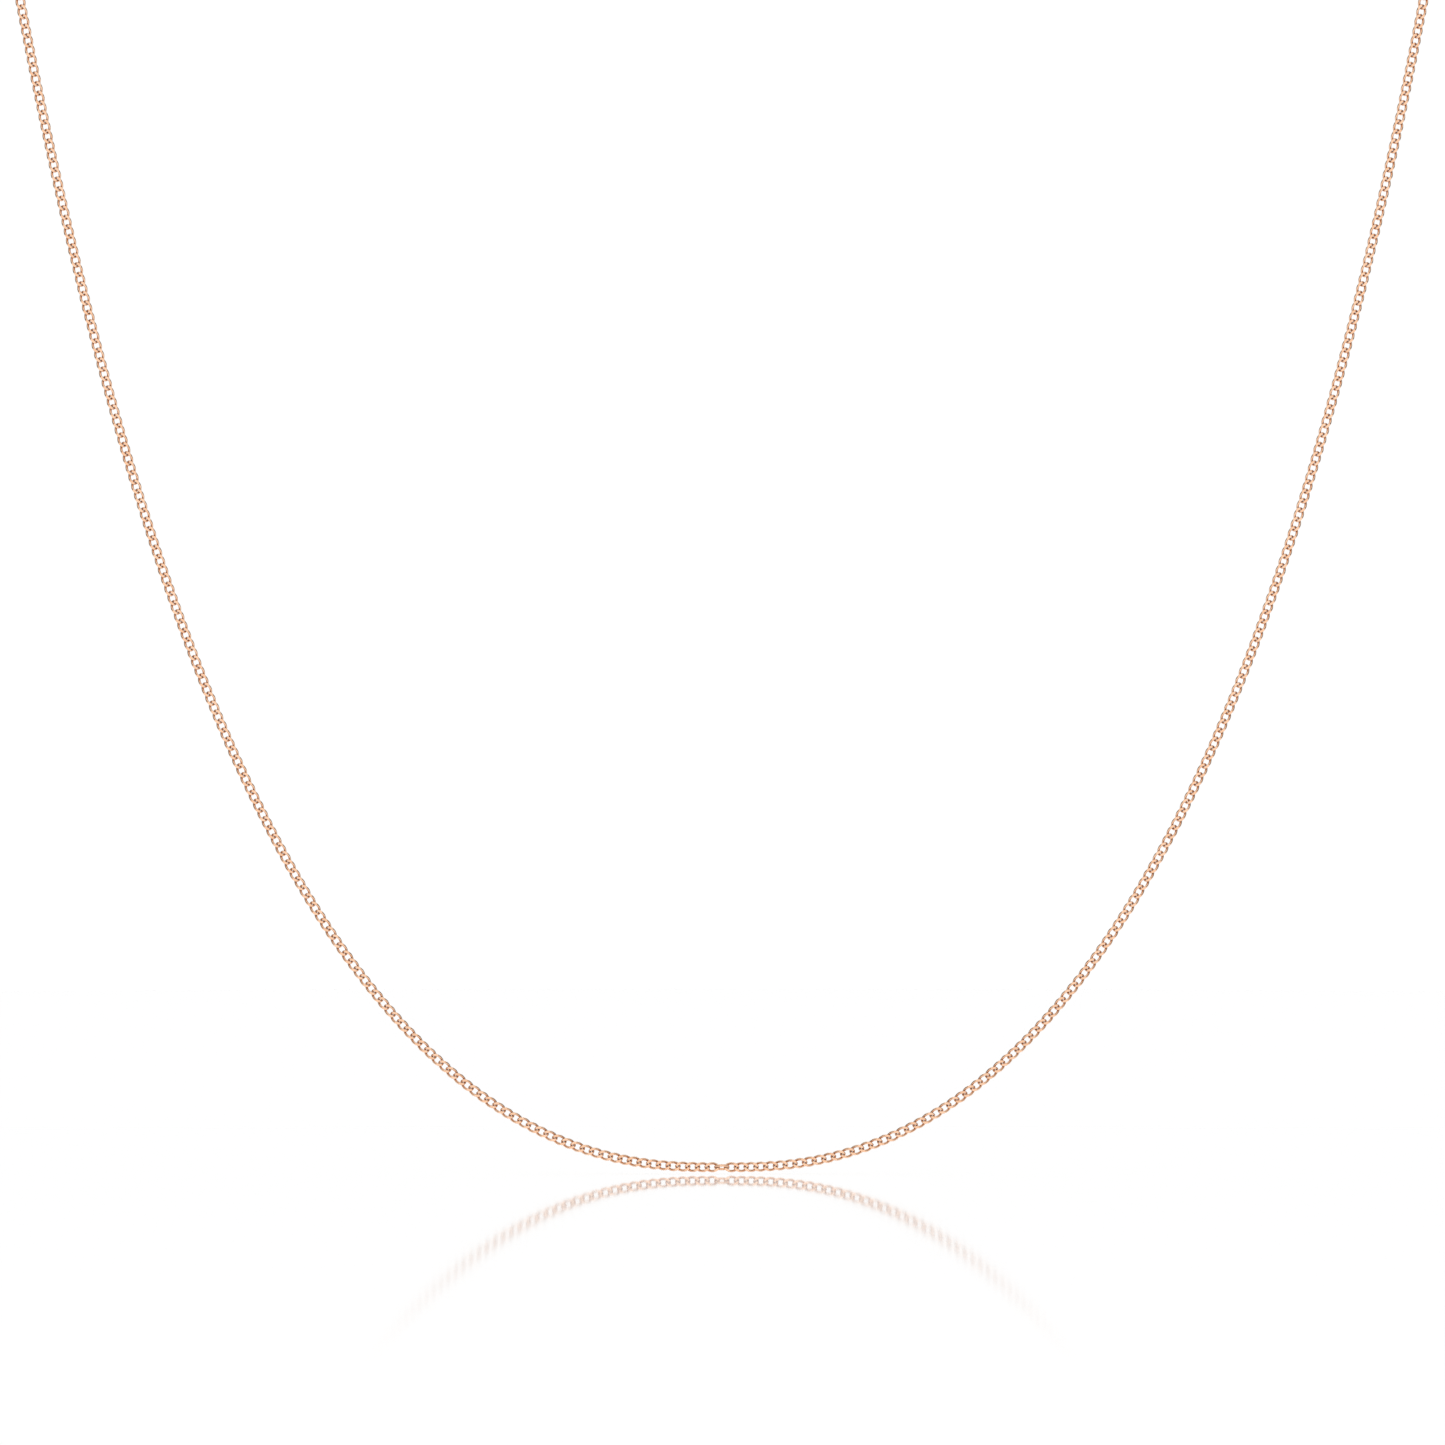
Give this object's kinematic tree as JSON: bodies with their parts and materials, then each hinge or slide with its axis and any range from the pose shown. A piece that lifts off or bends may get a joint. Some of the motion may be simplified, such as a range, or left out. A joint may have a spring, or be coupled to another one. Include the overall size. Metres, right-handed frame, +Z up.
{
  "type": "chain necklace",
  "caption": "Fine rose-gold flattened curb chain necklace in its worn shape: a deep flat front drop, shoulder runs and a nape run closed by a trigger claw clasp between two rings.",
  "frame": {"origin": "middle of the nape, on the line through both ends of the clasp, where the back of the wearer's neck carries the necklace", "axes": "+Z up, X across the wearer, -Y towards a viewer who faces the front drop; the drop hangs in a plane square to Y"},
  "size_m": [0.1608, 0.0837, 0.174],
  "materials": {
    "chain": "polished rose gold wire, both faces rolled flat",
    "rings": "polished rose gold wire",
    "clasp": "polished rose gold casting",
    "spring_steel": "plain spring strip"
  },
  "bodies": {
    "neck": {"nape_left": "chain", "nape_right": "chain", "shoulder_left": "chain", "shoulder_right": "chain", "jump_ring": "rings", "catch_ring": "rings"},
    "drop_01": {"drop_01_left": "chain", "drop_01_right": "chain"},
    "drop_02": {"drop_02_left": "chain", "drop_02_right": "chain"},
    "drop_03": {"drop_03_left": "chain", "drop_03_right": "chain"},
    "drop_04": {"drop_04_left": "chain", "drop_04_right": "chain"},
    "drop_05": {"drop_05_left": "chain", "drop_05_right": "chain"},
    "drop_06": {"drop_06_left": "chain", "drop_06_right": "chain"},
    "drop_07": {"drop_07_left": "chain", "drop_07_right": "chain"},
    "drop_08": {"drop_08_left": "chain", "drop_08_right": "chain"},
    "drop_09": {"drop_09_left": "chain", "drop_09_right": "chain"},
    "drop_10": {"drop_10_left": "chain", "drop_10_right": "chain"},
    "drop_11": {"drop_11_left": "chain", "drop_11_right": "chain"},
    "drop_bottom": {"drop_bottom_left": "chain", "drop_bottom_right": "chain", "drop_centre_link": "chain"},
    "clasp": {"clasp_body": "clasp", "clasp_pin": "clasp", "clasp_spring": "spring_steel"},
    "trigger": {"clasp_trigger": "clasp"}
  },
  "joints": [
    {"name": "drop_bend_01", "type": "hinge", "parent": "neck", "child": "drop_01", "pos_m": [0, -0.0817, -0.03774], "axis": [1, 0, 0], "range_deg": [-17, 24]},
    {"name": "drop_bend_02", "type": "hinge", "parent": "drop_01", "child": "drop_02", "pos_m": [0, -0.0817, -0.05052], "axis": [1, 0, 0], "range_deg": [-17, 24]},
    {"name": "drop_bend_03", "type": "hinge", "parent": "drop_02", "child": "drop_03", "pos_m": [0, -0.0817, -0.06326], "axis": [1, 0, 0], "range_deg": [-17, 24]},
    {"name": "drop_bend_04", "type": "hinge", "parent": "drop_03", "child": "drop_04", "pos_m": [0, -0.0817, -0.07594], "axis": [1, 0, 0], "range_deg": [-16, 24]},
    {"name": "drop_bend_05", "type": "hinge", "parent": "drop_04", "child": "drop_05", "pos_m": [0, -0.0817, -0.08852], "axis": [1, 0, 0], "range_deg": [-16, 24]},
    {"name": "drop_bend_06", "type": "hinge", "parent": "drop_05", "child": "drop_06", "pos_m": [0, -0.0817, -0.10099], "axis": [1, 0, 0], "range_deg": [-15, 24]},
    {"name": "drop_bend_07", "type": "hinge", "parent": "drop_06", "child": "drop_07", "pos_m": [0, -0.0817, -0.11329], "axis": [1, 0, 0], "range_deg": [-14, 23]},
    {"name": "drop_bend_08", "type": "hinge", "parent": "drop_07", "child": "drop_08", "pos_m": [0, -0.0817, -0.12534], "axis": [1, 0, 0], "range_deg": [-14, 23]},
    {"name": "drop_bend_09", "type": "hinge", "parent": "drop_08", "child": "drop_09", "pos_m": [0, -0.0817, -0.13699], "axis": [1, 0, 0], "range_deg": [-14, 22]},
    {"name": "drop_bend_10", "type": "hinge", "parent": "drop_09", "child": "drop_10", "pos_m": [0, -0.0817, -0.14799], "axis": [1, 0, 0], "range_deg": [-14, 21]},
    {"name": "drop_bend_11", "type": "hinge", "parent": "drop_10", "child": "drop_11", "pos_m": [0, -0.0817, -0.15786], "axis": [1, 0, 0], "range_deg": [-14, 21]},
    {"name": "drop_bend_12", "type": "hinge", "parent": "drop_11", "child": "drop_bottom", "pos_m": [0, -0.0817, -0.16571], "axis": [1, 0, 0], "range_deg": [-14, 21]},
    {"name": "clasp_roll", "type": "hinge", "parent": "neck", "child": "clasp", "pos_m": [0, 0, 0], "axis": [1, 0, 0], "range_deg": [-30, 30]},
    {"name": "trigger_pivot", "type": "hinge", "parent": "clasp", "child": "trigger", "pos_m": [-0.00098, 0, 0.0008], "axis": [0, 1, 0], "range_deg": [0, 26], "stiffness_Nm_per_rad": 0.002, "springref_deg": -20.05, "deforming": ["clasp_spring"]}
  ]
}
